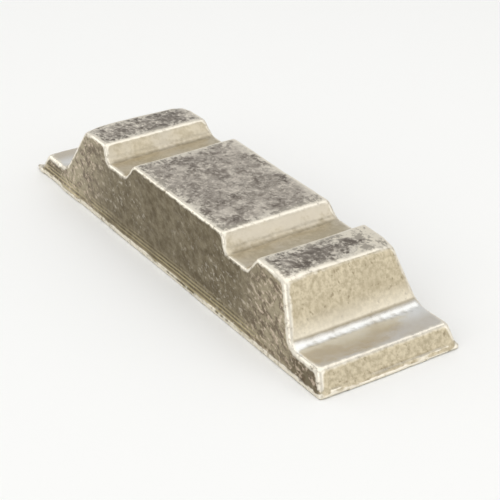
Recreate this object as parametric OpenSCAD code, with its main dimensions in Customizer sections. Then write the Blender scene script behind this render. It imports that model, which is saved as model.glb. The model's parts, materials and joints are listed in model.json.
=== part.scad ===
// Cast tin ingot with a lug at each end, two strap grooves and a trough.
// X runs along the ingot, Y across it and Z up from the wide face that it rests on.

/* [Casting] */
// Length over both lugs, at the wide face
ingot_length = 470; // [420:5:600]
// Width of the wide face, which lies at the bottom
wide_width = 135; // [115:1:170]
// Width of the narrow face, which lies at the top
narrow_width = 107; // [85:1:125]
// Height from the wide face to the narrow face
ingot_height = 67; // [54:1:90]

/* [End lugs] */
// Thickness of a lug above the wide face
lug_thickness = 20; // [12:1:30]
// Length of a lug's flat top, from its tip to the foot of the end face
lug_shelf = 37; // [20:1:55]
// How far a lug's tip leans back from the wide face to the top of the lug
lug_tip_run = 10; // [2:1:16]
// How far the end face leans back from its foot to the narrow face
end_face_run = 23; // [10:1:40]
// Fillet between a lug's top and the end face
foot_radius = 5; // [2:0.5:9]

/* [Strap grooves] */
// Length of the narrow face between its end and a groove
end_pad = 40; // [25:1:55]
// Width of a groove's floor
groove_floor = 33; // [20:1:45]
// Depth of a groove below the narrow face
groove_depth = 14; // [5:1:20]
// How far each wall of a groove leans
groove_wall_run = 9; // [4:1:16]

/* [Trough] */
// Width of the trough's mouth in the wide face
trough_width = 55; // [38:1:75]
// Depth of the trough
trough_depth = 17; // [8:1:24]
// How far each wall of the trough leans
trough_wall_run = 10; // [4:1:16]

/* [Hidden] */
$fn = 64;

// Distances from the middle of the ingot along X
tip_x = ingot_length / 2;
shelf_x = tip_x - lug_tip_run;
foot_x = shelf_x - lug_shelf;
top_x = foot_x - end_face_run;
groove_mouth = groove_floor + 2 * groove_wall_run;
groove_x = top_x - end_pad - groove_mouth / 2;
// The trough ends in line with the near edge of each groove's floor
trough_length = 2 * groove_x - groove_floor;

// The end face and a lug's top meet at an obtuse corner, which sets where the fillet touches them
end_face_height = ingot_height - lug_thickness;
end_face_length = norm([end_face_run, end_face_height]);
fillet_reach = foot_radius * (end_face_length - end_face_run) / end_face_height;
fillet_on_shelf = [foot_x + fillet_reach, lug_thickness];
fillet_on_face = [
    foot_x - fillet_reach * end_face_run / end_face_length,
    lug_thickness + fillet_reach * end_face_height / end_face_length
];
fillet_centre = [foot_x + fillet_reach, lug_thickness + foot_radius];

// Cuts run past the faces that they open on by this much
overcut = 1;

cast_tin = "#B4A88E";

// Stands an outline drawn in X and Z up and gives it a width across the ingot
module across(width) {
    rotate([90, 0, 0])
        linear_extrude(height = width, center = true)
            children();
}

// Stands an outline drawn in Y and Z up and gives it a length along the ingot
module along(length) {
    rotate([90, 0, 90])
        linear_extrude(height = length, center = true)
            children();
}

// Half of the outline seen from the side, from the middle to one lug's tip
module half_side_outline() {
    difference() {
        polygon([
            [0, 0],
            [tip_x, 0],
            [shelf_x, lug_thickness],
            fillet_on_shelf,
            fillet_on_face,
            [top_x, ingot_height],
            [0, ingot_height]
        ]);
        translate(fillet_centre)
            circle(r = foot_radius);
    }
}

// Outline seen from the side, with both lugs and the leaning end faces
module side_outline() {
    half_side_outline();
    mirror([1, 0])
        half_side_outline();
}

// Outline seen from the end, with the draft of the long sides
module end_outline() {
    polygon([
        [-wide_width / 2, 0],
        [wide_width / 2, 0],
        [narrow_width / 2, ingot_height],
        [-narrow_width / 2, ingot_height]
    ]);
}

// Outline of a cut with leaning walls: its mouth is on the axis and its floor is above it
module cut_outline(mouth, depth, wall_run) {
    lean = wall_run / depth;
    polygon([
        [-mouth / 2 - overcut * lean, -overcut],
        [mouth / 2 + overcut * lean, -overcut],
        [mouth / 2 - wall_run, depth],
        [-mouth / 2 + wall_run, depth]
    ]);
}

// One groove across the narrow face, at its place along the ingot
module strap_groove(x) {
    translate([x, 0, ingot_height])
        mirror([0, 0, 1])
            across(wide_width)
                cut_outline(groove_mouth, groove_depth, groove_wall_run);
}

// The trough in the middle of the wide face, with all four walls leaning
module trough() {
    intersection() {
        across(wide_width)
            cut_outline(trough_length, trough_depth, trough_wall_run);
        along(ingot_length)
            cut_outline(trough_width, trough_depth, trough_wall_run);
    }
}

module ingot() {
    color(cast_tin)
        difference() {
            intersection() {
                across(wide_width)
                    side_outline();
                along(ingot_length)
                    end_outline();
            }
            for (side = [-1, 1])
                strap_groove(side * groove_x);
            trough();
        }
}

ingot();
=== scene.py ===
# Cast tin ingot with a lug at each end, two grooves and a trough, on a plain studio stage
import json
import math

import bmesh
import bpy
import numpy as np
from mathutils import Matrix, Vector


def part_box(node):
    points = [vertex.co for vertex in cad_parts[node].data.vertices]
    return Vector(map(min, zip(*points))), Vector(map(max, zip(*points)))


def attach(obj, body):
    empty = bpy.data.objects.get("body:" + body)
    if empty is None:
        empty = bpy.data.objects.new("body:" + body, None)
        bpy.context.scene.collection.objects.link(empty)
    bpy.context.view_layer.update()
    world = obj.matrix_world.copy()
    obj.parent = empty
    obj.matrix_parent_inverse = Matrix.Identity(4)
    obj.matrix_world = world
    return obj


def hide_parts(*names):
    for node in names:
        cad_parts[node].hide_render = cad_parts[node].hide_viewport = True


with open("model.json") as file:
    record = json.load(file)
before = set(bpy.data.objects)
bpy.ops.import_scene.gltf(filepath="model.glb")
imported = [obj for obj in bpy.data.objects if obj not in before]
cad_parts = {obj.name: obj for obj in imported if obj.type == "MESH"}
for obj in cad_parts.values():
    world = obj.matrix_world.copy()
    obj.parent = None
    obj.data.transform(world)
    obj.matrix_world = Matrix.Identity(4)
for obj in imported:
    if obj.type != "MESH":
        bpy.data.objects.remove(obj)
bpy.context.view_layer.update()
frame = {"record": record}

bl_info = {
    "name": "Cast tin ingot",
    "version": (1, 0, 0),
    "blender": (4, 5, 0),
    "location": "3D View > Sidebar > Ingot",
    "description": "Models a cast tin ingot with its as-cast surface, and a plain studio stage for it",
    "category": "Object",
}

# Sizes that the frame gives
INGOT_LOW, INGOT_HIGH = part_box("ingot")
MOUNTS = {mount["name"]: mount["pos_m"] for mount in frame["record"]["mounts"]}
GROOVE_X = MOUNTS["strap_groove_b"][0]
GROOVE_FLOOR_Z = MOUNTS["strap_groove_b"][2]

MM = 0.001
RIGHT_ANGLE = math.radians(90)
# Slack for picking vertices, edges and faces by their place
NEAR = 0.05 * MM
# Faces that turn by less than this have no edge to round
FLAT_ANGLE = math.radians(8)
# A surface faces up or down if its normal does by at least this, and is steep if by less than this
FACING, STEEP = 0.9, 0.8
# The wide face and the round of its rim lie below this height
WIDE_FACE_TOP = 2 * MM

# Fins of flash: the corners of a pointed one and of an oval one, how many are oval,
# the seed that places those, and the share of them on the long sides
POINTED, OVAL = 3, 16
OVAL_FINS = 12
FLASH_SEED = 11
LONG_SIDE_SHARE = 0.7

# Sockets of a Mix node that mixes colours
MIX_FACTOR, MIX_UNDER, MIX_OVER, MIX_RESULT = 0, 6, 7, 2
# Length of one band of a wave texture whose scale is 1
WAVE_LENGTH = 0.314

# Where the camera looks, so that the ingot stands in the middle of the picture
AIM = (0.028, 0.004, 0.012)
FLOOR_SIZE = 24
# The floor lies this far under the casting, so that the two never touch
FLOOR_DROP = 0.3 * MM
# Width, height and place of each lamp. They are large and stand well off,
# so that no floor near them turns white
LAMPS = {
    "side_lamp": (2.9, 1.9, (2.4, 1.44, 1.18)),
    "top_lamp": (2.2, 2.2, (0.1, 0.1, 1.6)),
    "left_lamp": (1.9, 1.4, (-2.24, -1.44, 1.34)),
    "front_lamp": (1.9, 1.2, (0.88, -2.08, 1.1)),
}


def linear(hex_colour):
    """Turns an sRGB hex colour into linear red, green, blue and alpha."""
    channels = [int(hex_colour[i : i + 2], 16) / 255 for i in (1, 3, 5)]
    return [c / 12.92 if c <= 0.04045 else ((c + 0.055) / 1.055) ** 2.4 for c in channels] + [1.0]


def length_property(name, description, default):
    """A length in metres, shown in the scene's unit."""
    return bpy.props.FloatProperty(
        name=name, description=description, default=default, min=0, unit="LENGTH"
    )


def angle_property(name, description, degrees):
    """An angle, given in degrees."""
    return bpy.props.FloatProperty(
        name=name, description=description, default=math.radians(degrees), subtype="ANGLE"
    )


def power_property(name, description, default):
    """A lamp's power in watts."""
    return bpy.props.FloatProperty(
        name=name, description=description, default=default, min=0, subtype="POWER"
    )


def colour_property(name, description, hex_colour):
    """A colour, given as an sRGB hex value."""
    return bpy.props.FloatVectorProperty(
        name=name,
        description=description,
        default=linear(hex_colour),
        size=4,
        min=0,
        max=1,
        subtype="COLOR",
    )


class IngotSizes(bpy.types.PropertyGroup):
    """Sizes of the casting"""

    length: length_property("Length", "Over both lugs", INGOT_HIGH[0] - INGOT_LOW[0])
    wide_width: length_property(
        "Wide width", "Width of the face it rests on", INGOT_HIGH[1] - INGOT_LOW[1]
    )
    narrow_width: length_property("Narrow width", "Width of the top face", 107 * MM)
    height: length_property(
        "Height", "From the wide face to the narrow face", INGOT_HIGH[2] - INGOT_LOW[2]
    )
    lug_thickness: length_property("Lug thickness", "Above the wide face", 20 * MM)
    lug_shelf: length_property("Lug shelf", "Length of a lug's flat top", 37 * MM)
    end_face_run: length_property("End face run", "How far the end face leans back", 23 * MM)
    groove_floor: length_property("Groove floor", "Width of a groove's floor", 33 * MM)
    groove_wall_run: length_property("Groove wall run", "How far a groove's wall leans", 9 * MM)
    trough_length: length_property("Trough length", "Of the mouth in the wide face", 166 * MM)
    trough_width: length_property("Trough width", "Of the mouth in the wide face", 55 * MM)
    trough_depth: length_property("Trough depth", "Above the wide face", 17 * MM)
    trough_wall_run: length_property("Trough wall run", "How far a trough's wall leans", 10 * MM)
    corner_reach: length_property(
        "Corner reach", "Length of edge over which a corner of the narrow face droops", 14 * MM
    )
    corner_droop: length_property(
        "Corner droop", "How far a corner of the narrow face droops", 3 * MM
    )
    lip_height: length_property("Lip height", "Of the band along the wide face's rim", 4 * MM)
    lip_reach: length_property("Lip reach", "How far the band stands out", 1 * MM)
    pad_round: length_property("Pad round", "Edges of the narrow face", 2 * MM)
    end_round: length_property("End round", "Edges of the end faces", 3 * MM)
    lug_round: length_property("Lug round", "Edges of the lugs and the trough's mouth", 3 * MM)
    hollow_round: length_property(
        "Hollow round", "Inner corners of the grooves and the trough", 4 * MM
    )
    foot_round: length_property("Foot round", "Corner between a lug and the end face", 7 * MM)
    rim_round: length_property("Rim round", "Edges of the wide face", 1.5 * MM)
    mesh_step: length_property("Mesh step", "Size of a face of the finished mesh", 1.5 * MM)


class IngotColours(bpy.types.PropertyGroup):
    """Colours of the casting's surface"""

    bright: colour_property("Bright", "Clean cast tin", "#D2C6AB")
    dull: colour_property("Dull", "Clean cast tin where it has dulled", "#AEA288")
    # Speck: real brown specks, also used for painted shade in hollows and in the crease above the lugs
    speck_and_shade: colour_property("Speck", "Small brown specks and dull hollows", "#85785F")
    # Painted reflection: a white streak on the lug tops beside the foot of the end face
    clean: colour_property("Clean", "Smooth metal beside the foot of the end face", "#ECECE9")
    shelf: colour_property("Shelf", "Smooth tops of the lugs", "#D8D3CB")
    groove: colour_property("Groove", "Smooth walls of the grooves", "#CCC3B1")
    # The long sides' light and dark streaks are darker than the metal's own brown, as painted shade for the
    # sides turned away from the lamps
    side_light: colour_property("Side light", "Light streaks of the long sides", "#897F69")
    side_dark: colour_property("Side dark", "Dark streaks of the long sides", "#615642")
    side_brown: colour_property(
        "Side brown", "Brown stains near the ends of the long sides", "#56463A"
    )
    side_pale: colour_property(
        "Side pale", "Pale marks near the ends of the long sides", "#D8C5AF"
    )
    side_line: colour_property("Side line", "Lines along the foot of the long sides", "#D8CA9F")
    skin_light: colour_property("Skin light", "Oxide skin of the narrow face, light", "#D2C9BC")
    skin_dark: colour_property("Skin dark", "Oxide skin of the narrow face, dark", "#6D6359")
    spot: colour_property("Spot", "Dark spots in the oxide skin", "#584F45")
    fleck: colour_property("Fleck", "Cream flecks in the oxide skin", "#F5EDDE")
    crust_light: colour_property("Crust light", "Skin of the wide face, light", "#8B8376")
    crust_dark: colour_property("Crust dark", "Skin of the wide face, dark", "#665E51")
    # Edge: bare metal at the pad rims and bare patches, also used for painted highlights along the edges and
    # painted light at the foot of the end faces
    edge: colour_property("Edge", "Bare metal along the edges", "#F6EFDF")


class IngotStage(bpy.types.PropertyGroup):
    """Camera, lamps and floor"""

    azimuth: angle_property("Azimuth", "Camera's turn about the ingot", 57.8)
    elevation: angle_property("Elevation", "Camera's height above the horizon", 27.8)
    distance: length_property("Distance", "From the camera to the ingot", 1.36)
    lens: bpy.props.FloatProperty(
        name="Lens", description="Focal length", default=112, subtype="DISTANCE_CAMERA"
    )
    floor: colour_property("Floor", "Pale floor", "#F9F9F7")
    world: bpy.props.FloatProperty(
        name="Room light", description="Strength of the even light", default=0.72
    )
    side_lamp: power_property("Side lamp", "Soft lamp at the right", 10)
    top_lamp: power_property("Top lamp", "Soft lamp above", 8)
    left_lamp: power_property("Left lamp", "Soft lamp at the left", 6.8)
    front_lamp: power_property("Front lamp", "Soft lamp in front", 6)


def pick(bar, kind, test):
    """In edit mode, selects only the vertices, edges or faces that pass the test."""
    bpy.ops.mesh.select_mode(type=kind)
    bpy.ops.mesh.select_all(action="DESELECT")
    mesh = bmesh.from_edit_mesh(bar.data)
    for item in {"VERT": mesh.verts, "EDGE": mesh.edges, "FACE": mesh.faces}[kind]:
        item.select_set(test(item))
    mesh.select_flush_mode()
    bmesh.update_edit_mesh(bar.data)


def cut(point, normal):
    """In edit mode, cuts new edges through the whole mesh where a plane crosses it."""
    bpy.ops.mesh.select_all(action="SELECT")
    bpy.ops.mesh.bisect(plane_co=point, plane_no=normal)


def apply_modifier(bar, kind, **settings):
    """Adds a modifier with its settings and applies it."""
    modifier = bar.modifiers.new(kind.lower(), kind)
    for name, value in settings.items():
        setattr(modifier, name, value)
    bpy.ops.object.modifier_apply(modifier=modifier.name)


def half_lengths(sizes):
    """Half the length of the bar without its lugs, at the wide face and at the narrow face."""
    end_lean = sizes.end_face_run / (sizes.height - sizes.lug_thickness)
    base_half = sizes.length / 2 - sizes.lug_shelf
    return base_half, base_half - end_lean * sizes.height


def block_out(sizes):
    """Models the plain form of the casting, with sharp edges."""
    base_half, top_half = half_lengths(sizes)
    bpy.ops.object.select_all(action="DESELECT")
    bpy.ops.mesh.primitive_cube_add(
        size=1,
        location=(0, 0, sizes.height / 2),
        scale=(2 * base_half, sizes.wide_width, sizes.height),
    )
    bar = bpy.context.object
    bar.name = "ingot_casting"
    bar.data.name = "ingot_casting"
    bpy.ops.object.transform_apply(location=True, rotation=True, scale=True)
    bpy.ops.object.mode_set(mode="EDIT")

    # Draft of the long sides and lean of the end faces
    pick(bar, "FACE", lambda face: face.normal.z > FACING)
    bpy.ops.transform.resize(
        value=(top_half / base_half, sizes.narrow_width / sizes.wide_width, 1),
        center_override=(0, 0, sizes.height),
    )

    # Lugs, drawn out of the foot of each end face
    cut((0, 0, sizes.lug_thickness), (0, 0, 1))
    for side in (-1, 1):
        pick(
            bar,
            "FACE",
            lambda face: face.normal.x * side > 0.5
            and face.calc_center_median().z < sizes.lug_thickness,
        )
        reach = (side * sizes.lug_shelf, 0, 0)
        bpy.ops.mesh.extrude_region_move(TRANSFORM_OT_translate={"value": reach})

    # Grooves, pushed down along the draft of the long sides
    floor_half = sizes.groove_floor / 2
    mouth_half = floor_half + sizes.groove_wall_run
    for side in (-1, 1):
        for reach in (-mouth_half, -floor_half, floor_half, mouth_half):
            cut((side * (GROOVE_X + reach), 0, 0), (1, 0, 0))
    draft = (sizes.wide_width - sizes.narrow_width) / sizes.height
    floor_width = sizes.wide_width - draft * GROOVE_FLOOR_Z
    pick(
        bar,
        "VERT",
        lambda vert: vert.co.z > sizes.height - NEAR
        and abs(abs(vert.co.x) - GROOVE_X) < floor_half + NEAR,
    )
    bpy.ops.transform.resize(
        value=(1, floor_width / sizes.narrow_width, 1), center_override=(0, 0, 0)
    )
    bpy.ops.transform.translate(value=(0, 0, GROOVE_FLOOR_Z - sizes.height))

    # Trough, pushed up into the wide face
    for side in (-1, 1):
        cut((0, side * sizes.trough_width / 2, 0), (0, 1, 0))
        cut((side * sizes.trough_length / 2, 0, 0), (1, 0, 0))
    pick(
        bar,
        "FACE",
        lambda face: face.normal.z < -FACING
        and abs(face.calc_center_median().x) < sizes.trough_length / 2
        and abs(face.calc_center_median().y) < sizes.trough_width / 2,
    )
    reach = (0, 0, sizes.trough_depth)
    bpy.ops.mesh.extrude_region_move(TRANSFORM_OT_translate={"value": reach})
    shrink = 2 * sizes.trough_wall_run
    bpy.ops.transform.resize(
        value=(1 - shrink / sizes.trough_length, 1 - shrink / sizes.trough_width, 1),
        center_override=(0, 0, sizes.trough_depth),
    )

    # Corners of the narrow face, which droop where the metal chilled first
    for side in (-1, 1):
        cut((side * (top_half - sizes.corner_reach), 0, 0), (1, 0, 0))
        cut((0, side * (sizes.narrow_width / 2 - sizes.corner_reach), 0), (0, 1, 0))
    pick(
        bar,
        "VERT",
        lambda vert: vert.co.z > sizes.height - NEAR
        and abs(vert.co.x) > top_half - NEAR
        and abs(vert.co.y) > sizes.narrow_width / 2 - NEAR,
    )
    bpy.ops.transform.translate(value=(0, 0, -sizes.corner_droop))

    # Lip that stands out along the rim of the wide face
    cut((0, 0, sizes.lip_height), (0, 0, 1))
    pick(
        bar,
        "FACE",
        lambda face: abs(face.normal.z) < STEEP
        and face.calc_center_median().z < sizes.lip_height
        and (
            abs(face.calc_center_median().y) > sizes.narrow_width / 2
            or abs(face.calc_center_median().x) > base_half
        ),
    )
    bpy.ops.mesh.extrude_region_shrink_fatten(
        TRANSFORM_OT_shrink_fatten={"value": sizes.lip_reach}
    )
    bpy.ops.mesh.select_all(action="SELECT")
    bpy.ops.mesh.remove_doubles(threshold=NEAR)
    bpy.ops.mesh.normals_make_consistent(inside=False)
    bpy.ops.object.mode_set(mode="OBJECT")
    return bar


def add_flash(bar, sizes):
    """Adds thin fins of metal that ran out over the mould's rim: a pointed one, and long low ovals."""
    draw = np.random.default_rng(FLASH_SEED)
    half_length, half_width = sizes.length / 2, sizes.wide_width / 2

    # Each fin has its corners, its place, the way that it points, and its length, reach and thickness
    pointed_y = -half_width + 4 * MM
    pointed_way = math.radians(200)
    fins = [(POINTED, -half_length, pointed_y, pointed_way, 20 * MM, 10 * MM, 3.4 * MM)]
    for _ in range(OVAL_FINS):
        side = draw.choice((-1, 1))
        along = draw.uniform(-0.85, 0.85)
        length = draw.uniform(40, 110) * MM
        reach = draw.uniform(1.2, 2.2) * MM
        thickness = draw.uniform(2.4, 3.6) * MM
        if draw.random() < LONG_SIDE_SHARE:
            x, y, way = along * half_length, side * half_width, RIGHT_ANGLE * side
        else:
            x, y, way = side * half_length, along * half_width, RIGHT_ANGLE * (1 - side)
        fins.append((OVAL, x, y, way, length, reach, thickness))

    for corners, x, y, way, length, reach, thickness in fins:
        bpy.ops.mesh.primitive_cylinder_add(
            vertices=corners,
            radius=1,
            depth=1,
            location=(x, y, thickness / 2),
            rotation=(0, 0, way - RIGHT_ANGLE),
            scale=(length / 2, reach, thickness),
        )
        bar.select_set(True)
        bpy.context.view_layer.objects.active = bar
        bpy.ops.object.join()


def edge_round(edge, sizes):
    """The round of an edge by its place, or nothing where its two faces are almost in one plane."""
    if len(edge.link_faces) != 2 or edge.calc_face_angle(0) < FLAT_ANGLE:
        return 0
    middle = (edge.verts[0].co + edge.verts[1].co) / 2
    x, y, z = abs(middle.x), abs(middle.y), middle.z
    foot_x, _ = half_lengths(sizes)
    if not edge.is_convex and z > sizes.lip_height + NEAR:
        at_foot = x > foot_x - NEAR - sizes.end_face_run and z < sizes.lug_thickness + NEAR
        return sizes.foot_round if at_foot else sizes.hollow_round
    if x < sizes.trough_length / 2 + NEAR and y < sizes.trough_width / 2 + NEAR:
        if z < sizes.trough_depth + NEAR:
            return sizes.lug_round
    if z < sizes.lip_height + sizes.lip_reach:
        return sizes.rim_round
    if z < sizes.lug_thickness + NEAR:
        return sizes.lug_round
    if x > foot_x - sizes.end_face_run - sizes.lug_shelf / 2:
        return sizes.end_round
    return sizes.pad_round


def round_edges(bar, sizes):
    """Rounds each edge by its own amount, and gives the form an even mesh."""
    widest = max(
        sizes.foot_round,
        sizes.hollow_round,
        sizes.end_round,
        sizes.lug_round,
        sizes.pad_round,
        sizes.rim_round,
    )
    bpy.ops.object.mode_set(mode="EDIT")
    mesh = bmesh.from_edit_mesh(bar.data)
    weight = mesh.edges.layers.float.new("bevel_weight_edge")
    for edge in mesh.edges:
        edge[weight] = edge_round(edge, sizes) / widest
    bmesh.update_edit_mesh(bar.data)
    bpy.ops.object.mode_set(mode="OBJECT")
    apply_modifier(
        bar,
        "BEVEL",
        limit_method="WEIGHT",
        width=widest,
        segments=3,
        use_clamp_overlap=False,
        miter_outer="MITER_ARC",
    )
    apply_modifier(bar, "REMESH", mode="VOXEL", voxel_size=sizes.mesh_step)
    apply_modifier(bar, "SMOOTH", factor=0.5, iterations=3)


def clouds(name, size, depth):
    """A cloud texture whose lumps are about that size."""
    texture = bpy.data.textures.new(name, "CLOUDS")
    texture.noise_scale = size
    texture.noise_depth = depth
    return texture


def vertex_group(bar, name, chosen):
    """Makes a vertex group of the chosen vertices."""
    group = bar.vertex_groups.new(name=name)
    group.add([int(i) for i in np.flatnonzero(chosen)], 1.0, "REPLACE")


def places(mesh):
    """The mesh's vertices and their normals as arrays."""
    points = np.empty(len(mesh.vertices) * 3)
    normals = np.empty(len(mesh.vertices) * 3)
    mesh.vertices.foreach_get("co", points)
    mesh.vertices.foreach_get("normal", normals)
    return points.reshape(-1, 3), normals.reshape(-1, 3)


def roughen(bar, sizes):
    """Gives the form a casting's slow waves, ragged lip, fine grain and rippled wide face."""
    points, normals = places(bar.data)
    height, upward = points[:, 2], normals[:, 2]
    above = height > WIDE_FACE_TOP
    beside_lip = (height < sizes.lip_height + sizes.lip_reach) & (np.abs(upward) < STEEP)
    vertex_group(bar, "above", above)
    vertex_group(bar, "lip", beside_lip & above)
    vertex_group(bar, "wide_face", (height < 1 * MM) & (upward < -FACING))

    # Size of the lumps and their detail, how far they stand out, the level that stays put,
    # and the vertices that they move. The wide face set in the open air and sank a little,
    # so its ripples go inwards only
    for name, size, depth, strength, level, group in (
        ("waves", 90 * MM, 3, 2.4 * MM, 0.5, "above"),
        ("lip", 22 * MM, 2, 1.2 * MM, 0.5, "lip"),
        ("grain", 8 * MM, 3, 0.35 * MM, 0.5, "above"),
        ("ripples", 26 * MM, 2, -0.8 * MM, 0, "wide_face"),
    ):
        apply_modifier(
            bar,
            "DISPLACE",
            texture=clouds(name, size, depth),
            texture_coords="LOCAL",
            strength=strength,
            mid_level=level,
            vertex_group=group,
        )
    bar.vertex_groups.clear()


def float_attribute(mesh, name, values):
    """Keeps one number for each vertex, for the material to read."""
    attribute = mesh.attributes.new(name, "FLOAT", "POINT")
    attribute.data.foreach_set("value", np.asarray(values, dtype=np.float32))


def ramp(values, start, full):
    """Goes from 0 at the start to 1 where it is full, and no further."""
    return np.clip((values - start) / (full - start), 0, 1)


def mark_surfaces(bar, sizes):
    """Marks each kind of surface for the material. Insets, skin loss and bend are in millimetres."""
    mesh = bar.data
    points, normals = places(mesh)
    x, y, z = np.abs(points[:, 0]), np.abs(points[:, 1]), points[:, 2]
    sideways, upward = np.abs(normals[:, 1]), normals[:, 2]
    _, top_half = half_lengths(sizes)
    mouth_half = sizes.groove_floor / 2 + sizes.groove_wall_run
    high = z > sizes.height / 2
    # Inset of what lies off a face, which keeps that face's skin away from it
    off_face = -20 * MM

    # How far inside the narrow face's rim each vertex lies
    middle_pad = GROOVE_X - mouth_half - x
    end_pad = np.minimum(x - GROOVE_X - mouth_half, top_half - x)
    pad_inset = np.minimum(np.maximum(middle_pad, end_pad), sizes.narrow_width / 2 - y)
    pad_inset = np.where(high, pad_inset + off_face * ramp(upward, 0.8, 0.4), off_face)
    float_attribute(mesh, "pad_inset", pad_inset / MM)

    # The skin of one end pad thins out towards one side
    thinning = ramp(points[:, 1], 10 * MM, 50 * MM)
    most_loss = 20
    skin_loss = np.where(points[:, 0] > GROOVE_X, most_loss * thinning, 0)
    float_attribute(mesh, "skin_loss", skin_loss)

    # How far inside the wide face's rim and outside the trough each vertex lies
    trough_clear = np.maximum(x - sizes.trough_length / 2, y - sizes.trough_width / 2)
    rim_inset = np.minimum(sizes.length / 2 - x, sizes.wide_width / 2 - y)
    rim_inset = np.where(z < WIDE_FACE_TOP, np.minimum(rim_inset, trough_clear), off_face)
    float_attribute(mesh, "rim_inset", rim_inset / MM)
    on_trough_floor = (trough_clear < 0) & (upward < -STEEP) & (z > sizes.trough_depth / 2)
    float_attribute(mesh, "trough_floor", on_trough_floor)

    float_attribute(mesh, "long_side", np.where(trough_clear > 0, ramp(sideways, 0.6, 0.9), 0))
    float_attribute(mesh, "shelf", np.where(x > top_half, ramp(upward, 0.7, 0.9), 0))
    in_groove = (np.abs(x - GROOVE_X) < mouth_half) & (sideways < 0.6) & high
    float_attribute(mesh, "groove", in_groove)

    # Bend of the surface, from how far each vertex stands out from the mean of its neighbours,
    # evened out twice
    ends = np.empty(len(mesh.edges) * 2, dtype=np.int64)
    mesh.edges.foreach_get("vertices", ends)
    first, second = ends.reshape(-1, 2).T
    count = np.bincount(ends, minlength=len(points)).astype(float)

    def neighbour_mean(values):
        total = np.bincount(first, values[second], len(points))
        total += np.bincount(second, values[first], len(points))
        return total / count

    mean = np.stack([neighbour_mean(points[:, axis]) for axis in range(3)], axis=1)
    bend = ((points - mean) * normals).sum(axis=1) / MM
    for _ in range(2):
        bend = (bend + neighbour_mean(bend)) / 2
    float_attribute(mesh, "bend", bend)


def add(tree, kind, inputs=None, **settings):
    """Adds a node with its settings, and sets or links its inputs."""
    node = tree.nodes.new(kind)
    for name, value in settings.items():
        setattr(node, name, value)
    for key, value in (inputs or {}).items():
        if isinstance(value, bpy.types.NodeSocket):
            tree.links.new(value, node.inputs[key])
        else:
            node.inputs[key].default_value = value
    return node


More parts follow.
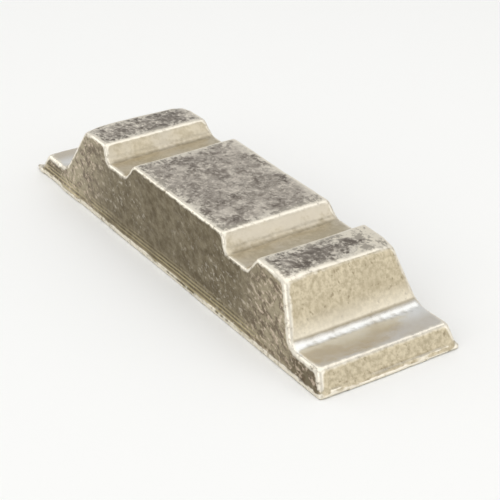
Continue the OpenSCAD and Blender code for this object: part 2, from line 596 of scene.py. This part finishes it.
def cast_tin(colours):
    """Tin as it comes out of an open iron mould: satin grey-cream metal with a faint grain where it chilled
    against the mould, a brown skin on the long sides darkened as painted shade, and bright edges that are
    partly bare metal and partly painted highlight. Light and shade are also painted at the foot of the end
    faces, in hollows and as a reflection streak on the lug tops."""
    material = bpy.data.materials.new("cast_tin")
    material.use_nodes = True
    tree = material.node_tree
    tree.nodes.clear()
    spot = add(tree, "ShaderNodeTexCoord").outputs["Object"]
    axes = add(tree, "ShaderNodeSeparateXYZ", {"Vector": spot}).outputs
    along = add(tree, "ShaderNodeMath", {0: axes["X"]}, operation="ABSOLUTE").outputs[0]
    # Flow marks on the long sides are twice as long as high, and dip towards one end
    inputs = {"Vector": spot, "Rotation": (0, math.radians(22), 0), "Scale": (2, 1, 1)}
    flow = add(tree, "ShaderNodeMapping", inputs, vector_type="TEXTURE").outputs["Vector"]
    marks = {
        name: add(tree, "ShaderNodeAttribute", attribute_name=name).outputs["Fac"]
        for name in (
            "pad_inset",
            "skin_loss",
            "rim_inset",
            "trough_floor",
            "long_side",
            "shelf",
            "groove",
            "bend",
        )
    }

    # Size in millimetres, detail, roughness and swirl of each noise. The real grain and flecks are finer
    # than the picture shows, so they are drawn coarser than life
    noises = {}
    for name, at, size, detail, rough, swirl in (
        ("grain", spot, 3.8, 5, 0.62, 0.0),
        ("fine", spot, 3.0, 3, 0.6, 0.0),
        ("specks", spot, 4.5, 3, 0.5, 0.0),
        ("ragged", spot, 5.0, 4, 0.6, 0.0),
        ("blotch", spot, 12.0, 6, 0.7, 0.5),
        ("wide", spot, 55.0, 3, 0.5, 0.5),
        ("streak", flow, 5.0, 5, 0.7, 0.0),
        ("dash", flow, 2.6, 4, 0.6, 0.0),
    ):
        inputs = {
            "Vector": at,
            "Scale": 1 / (size * MM),
            "Detail": detail,
            "Roughness": rough,
            "Distortion": swirl,
        }
        noises[name] = add(tree, "ShaderNodeTexNoise", inputs).outputs["Fac"]
    # The long sides are worn in broad patches, and most towards their ends
    inputs = {0: along, 1: 2.0, 2: noises["wide"]}
    worn = add(tree, "ShaderNodeMath", inputs, operation="MULTIPLY_ADD").outputs[0]
    # Patches of the skins are broad, with ragged edges from the fine noise
    patch = noises["wide"]
    for noise, share in (("blotch", 1.4), ("fine", 0.7)):
        inputs = {0: noises[noise], 1: share, 2: patch}
        patch = add(tree, "ShaderNodeMath", inputs, operation="MULTIPLY_ADD").outputs[0]
    # Lines along the foot of the long sides, 3 mm apart
    inputs = {
        "Vector": spot,
        "Scale": WAVE_LENGTH / (3 * MM),
        "Distortion": 1.5,
        "Detail Scale": 0.02,
    }
    lines = add(tree, "ShaderNodeTexWave", inputs, bands_direction="Z").outputs["Fac"]

    # Borders of the skins, in millimetres from the rim of their face, moved in and out by the noises
    inputs = {0: marks["pad_inset"], 1: marks["skin_loss"]}
    insets = {
        "pad": add(tree, "ShaderNodeMath", inputs, operation="SUBTRACT").outputs[0],
        "crust": marks["rim_inset"],
    }
    borders = {}
    for name, *reaches in (("pad", 32.0, 16.0, 10.0), ("crust", 8.0, 4.0, 5.0)):
        border = insets[name]
        for noise, reach in zip(("wide", "blotch", "ragged"), reaches):
            inputs = {0: noises[noise], 1: reach, 2: border}
            border = add(tree, "ShaderNodeMath", inputs, operation="MULTIPLY_ADD").outputs[0]
        borders[name] = border

    # Where each coat lies: its source, the values at which it starts and is full,
    # and how much it then covers
    masks = dict(marks)
    for name, source, start, full, cover in (
        ("grain_light", noises["grain"], 0.32, 0.68, 1.0),
        ("grain_specks", noises["specks"], 0.6, 0.71, 0.62),
        ("wide_dull", noises["wide"], 0.5, 0.75, 0.5),
        ("smooth", noises["wide"], 0.35, 0.65, 0.6),
        ("cloudy", patch, 1.4, 1.85, 0.6),
        ("end_face", along, 160 * MM, 165 * MM, 1.0),
        ("above_lug", axes["Z"], 19 * MM, 23 * MM, 1.0),
        # Painted light: the end face grows paler towards its foot, a painted reflection of the lug top
        ("foot_painted_light", axes["Z"], 42 * MM, 22 * MM, 0.5),
        # Painted shade: a thin dark line across the end face just above the lug, where shade falls in the
        # crease
        ("foot_shade_low", axes["Z"], 21 * MM, 22.5 * MM, 0.6),
        ("foot_shade_high", axes["Z"], 26 * MM, 24 * MM, 1.0),
        # Painted reflection: a white streak on the lug tops next to the foot, broken into patches by the
        # noise on the next line
        ("foot_reflection_band", along, 215 * MM, 199 * MM, 1.0),
        ("shine", noises["wide"], 0.38, 0.56, 1.0),
        ("streaks", noises["streak"], 0.3, 0.7, 1.0),
        ("dashes", noises["dash"], 0.53, 0.68, 0.36),
        ("side_worn", worn, 0.5, 0.85, 1.0),
        ("side_ends", along, 85 * MM, 190 * MM, 0.52),
        ("lug_side", along, 180 * MM, 198 * MM, 0.75),
        ("side_tips", along, 105 * MM, 150 * MM, 1.0),
        ("tip_stains", noises["streak"], 0.54, 0.4, 0.6),
        ("tip_marks", noises["dash"], 0.52, 0.64, 0.6),
        ("low_band", axes["Z"], 17 * MM, 7 * MM, 0.55),
        ("lines", lines, 0.35, 0.85, 1.0),
        ("line_reach", axes["X"], 165 * MM, 125 * MM, 1.0),
        ("line_worn", noises["wide"], 0.25, 0.55, 1.0),
        ("pad_rim", marks["pad_inset"], -2.5, -0.5, 0.85),
        ("pad", borders["pad"], 30.0, 34.0, 1.0),
        ("pad_edge", borders["pad"], 45.0, 32.0, 0.8),
        ("blotches", noises["blotch"], 0.28, 0.72, 1.0),
        ("stains", patch, 1.56, 1.38, 0.7),
        ("patches", patch, 1.45, 1.9, 0.3),
        ("end_pads", along, 105 * MM, 120 * MM, 1.0),
        ("end_dark", patch, 1.8, 1.4, 0.5),
        ("end_bare", patch, 1.68, 1.84, 0.8),
        ("border_patches", patch, 1.4, 1.65, 1.0),
        ("flecks", noises["fine"], 0.5, 0.68, 0.45),
        ("spots", noises["specks"], 0.58, 0.7, 0.5),
        ("crust", borders["crust"], 12.5, 15.5, 1.0),
        ("scratches", noises["fine"], 0.62, 0.72, 0.4),
        # Painted shade: darker where the surface bends inwards
        ("hollow_shade", marks["bend"], -0.02, -0.05, 0.45),
        # Painted highlight: bright metal along outward bends, partly bare worn metal and partly a painted
        # highlight
        ("edges", marks["bend"], 0.024, 0.075, 1.0),
        ("bare", noises["ragged"], 0.25, 0.5, 0.95),
    ):
        inputs = {"Value": source, "From Min": start, "From Max": full, "To Max": cover}
        mask = add(tree, "ShaderNodeMapRange", inputs, interpolation_type="SMOOTHSTEP")
        masks[name] = mask.outputs["Result"]

    # Coats in order, each with the masks that hold it back
    surface = list(colours.dull)
    for colour, *held_by in (
        # End faces and lugs: a faint grain, a few brown specks, a painted paler glow towards the foot that
        # stands in for the lug top's reflection, and a thin painted shade line in the crease above the lug
        ("bright", "grain_light"),
        ("dull", "wide_dull"),
        ("speck_and_shade", "grain_specks"),
        ("edge", "end_face", "above_lug", "foot_painted_light"),
        ("speck_and_shade", "end_face", "foot_shade_low", "foot_shade_high"),
        # Tops of the lugs and the grooves, which chilled smooth; each lug top also gets a painted
        # reflection, a white streak beside the foot of the end face
        ("shelf", "shelf"),
        ("bright", "shelf", "smooth"),
        ("skin_light", "shelf", "cloudy"),
        ("clean", "shelf", "foot_reflection_band", "shine"),
        ("groove", "groove"),
        ("bright", "groove", "smooth"),
        ("dull", "groove", "cloudy"),
        # Long sides: brown, darkened as painted shade, with short pale flow marks, stains near the ends
        # and gold lines at the foot
        ("side_dark", "long_side"),
        ("side_light", "long_side", "streaks"),
        ("bright", "long_side", "side_ends"),
        ("side_dark", "long_side", "lug_side"),
        ("fleck", "long_side", "dashes", "side_worn"),
        ("side_brown", "long_side", "side_tips", "tip_stains"),
        ("side_pale", "long_side", "side_tips", "tip_marks"),
        ("side_line", "long_side", "low_band", "lines", "line_reach", "line_worn"),
        # Oxide skin of the narrow face, with a pale ragged rim, flecks and dark spots
        ("edge", "pad_rim"),
        ("skin_dark", "pad_rim", "stains"),
        ("skin_dark", "pad"),
        ("skin_light", "pad", "blotches"),
        ("spot", "pad", "end_pads", "end_dark"),
        ("edge", "pad", "end_pads", "end_bare"),
        ("fleck", "pad", "patches"),
        ("fleck", "pad", "flecks"),
        ("spot", "pad", "spots"),
        ("edge", "pad", "pad_edge", "border_patches"),
        # Skin of the wide face, inside its bright rim
        ("crust_dark", "crust"),
        ("crust_light", "crust", "blotches"),
        ("fleck", "crust", "scratches"),
        # Floor of the trough, pale with dark spots
        ("fleck", "trough_floor", "bare"),
        ("spot", "trough_floor", "spots"),
        # Painted shade in hollows, and bright edges that are partly bare metal and partly painted highlight
        ("speck_and_shade", "hollow_shade"),
        ("edge", "edges", "bare"),
    ):
        amount = masks[held_by[0]]
        for name in held_by[1:]:
            inputs = {0: amount, 1: masks[name]}
            amount = add(tree, "ShaderNodeMath", inputs, operation="MULTIPLY").outputs[0]
        over = list(getattr(colours, colour))
        inputs = {MIX_FACTOR: amount, MIX_UNDER: surface, MIX_OVER: over}
        surface = add(tree, "ShaderNodeMix", inputs, data_type="RGBA").outputs[MIX_RESULT]

    # The grain makes the metal rougher, and the smooth tops of the lugs shine most
    rough = 0.24
    for source, share in ((noises["grain"], 0.2), (marks["shelf"], -0.12)):
        inputs = {0: source, 1: share, 2: rough}
        rough = add(tree, "ShaderNodeMath", inputs, operation="MULTIPLY_ADD").outputs[0]
    inputs = {0: noises["fine"], 1: 0.5, 2: noises["grain"]}
    lumps = add(tree, "ShaderNodeMath", inputs, operation="MULTIPLY_ADD").outputs[0]
    inputs = {"Height": lumps, "Strength": 0.3, "Distance": 0.4 * MM}
    bump = add(tree, "ShaderNodeBump", inputs).outputs["Normal"]
    inputs = {"Base Color": surface, "Metallic": 1.0, "Roughness": rough, "Normal": bump}
    shader = add(tree, "ShaderNodeBsdfPrincipled", inputs)
    add(tree, "ShaderNodeOutputMaterial", {"Surface": shader.outputs["BSDF"]})
    return material


def pale_floor(colour):
    """Matt painted board: pale and even, with a faint tooth and hardly any gloss."""
    material = bpy.data.materials.new("matt_painted_board")
    material.use_nodes = True
    tree = material.node_tree
    tree.nodes.clear()
    spot = add(tree, "ShaderNodeTexCoord").outputs["Object"]
    inputs = {"Vector": spot, "Scale": 1 / (2 * MM)}
    tooth = add(tree, "ShaderNodeTexNoise", inputs).outputs["Fac"]
    inputs = {"Height": tooth, "Strength": 0.1, "Distance": 0.1 * MM}
    bump = add(tree, "ShaderNodeBump", inputs).outputs["Normal"]
    inputs = {"Base Color": list(colour), "Roughness": 0.8, "Normal": bump}
    shader = add(tree, "ShaderNodeBsdfPrincipled", inputs)
    add(tree, "ShaderNodeOutputMaterial", {"Surface": shader.outputs["BSDF"]})
    return material


class INGOT_OT_cast_bar(bpy.types.Operator):
    """Models the ingot and its as-cast surface"""

    bl_idname = "ingot.cast_bar"
    bl_label = "Cast the ingot"

    def execute(self, context):
        sizes = context.scene.ingot_sizes
        bar = block_out(sizes)
        add_flash(bar, sizes)
        round_edges(bar, sizes)
        roughen(bar, sizes)
        bpy.ops.object.shade_smooth()
        mark_surfaces(bar, sizes)
        bar.data.materials.append(cast_tin(context.scene.ingot_colours))
        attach(bar, "root")
        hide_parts("ingot")
        return {"FINISHED"}


def soft_lamp(name, power, width, height, place, target):
    """Adds an area lamp that faces the target."""
    bpy.ops.object.light_add(type="AREA", location=place)
    lamp = bpy.context.object
    lamp.name = name
    lamp.data.shape = "RECTANGLE"
    lamp.data.size = width
    lamp.data.size_y = height
    lamp.data.energy = power
    lamp.rotation_mode = "QUATERNION"
    lamp.rotation_quaternion = (Vector(target) - Vector(place)).to_track_quat("-Z", "Y")


class INGOT_OT_set_stage(bpy.types.Operator):
    """Lays the floor and sets up the lamps and the camera"""

    bl_idname = "ingot.set_stage"
    bl_label = "Set the stage"

    def execute(self, context):
        scene = context.scene
        stage = scene.ingot_stage
        bpy.ops.object.select_all(action="DESELECT")
        bpy.ops.mesh.primitive_plane_add(size=FLOOR_SIZE, location=(0, 0, -FLOOR_DROP))
        floor = bpy.context.object
        floor.name = "floor"
        floor.data.materials.append(pale_floor(stage.floor))

        world = bpy.data.worlds.new("even_room_light")
        scene.world = world
        world.use_nodes = True
        background = world.node_tree.nodes["Background"]
        background.inputs["Color"].default_value = (1, 1, 1, 1)
        background.inputs["Strength"].default_value = stage.world

        middle = (0, 0, INGOT_HIGH[2] / 2)
        for name, (width, height, place) in LAMPS.items():
            soft_lamp(name, getattr(stage, name), width, height, place, middle)

        turn, rise = stage.azimuth, stage.elevation
        level = math.cos(rise)
        back = Vector((math.sin(turn) * level, -math.cos(turn) * level, math.sin(rise)))
        bpy.ops.object.camera_add()
        camera = bpy.context.object
        camera.name = "camera"
        camera.data.lens = stage.lens
        camera.location = Vector(middle) + back * stage.distance
        camera.rotation_mode = "QUATERNION"
        camera.rotation_quaternion = (Vector(AIM) - camera.location).to_track_quat("-Z", "Y")
        scene.camera = camera
        scene.view_settings.view_transform = "Standard"
        return {"FINISHED"}


class VIEW3D_PT_ingot(bpy.types.Panel):
    """Lists the ingot's operators and settings"""

    bl_idname = "VIEW3D_PT_ingot"
    bl_label = "Tin ingot"
    bl_space_type = "VIEW_3D"
    bl_region_type = "UI"
    bl_category = "Ingot"

    def draw(self, context):
        scene = context.scene
        for settings, operator in (
            ((scene.ingot_sizes, scene.ingot_colours), INGOT_OT_cast_bar),
            ((scene.ingot_stage,), INGOT_OT_set_stage),
        ):
            box = self.layout.box()
            for group in settings:
                for name in group.__annotations__:
                    box.prop(group, name)
            box.operator(operator.bl_idname)


CLASSES = (
    IngotSizes,
    IngotColours,
    IngotStage,
    INGOT_OT_cast_bar,
    INGOT_OT_set_stage,
    VIEW3D_PT_ingot,
)
GROUPS = {"ingot_sizes": IngotSizes, "ingot_colours": IngotColours, "ingot_stage": IngotStage}


def register():
    for item in CLASSES:
        bpy.utils.register_class(item)
    for name, group in GROUPS.items():
        setattr(bpy.types.Scene, name, bpy.props.PointerProperty(type=group))


def unregister():
    for name in GROUPS:
        delattr(bpy.types.Scene, name)
    for item in reversed(CLASSES):
        bpy.utils.unregister_class(item)


def main():
    register()
    bpy.ops.ingot.cast_bar()
    bpy.ops.ingot.set_stage()


if __name__ == "__main__":
    main()
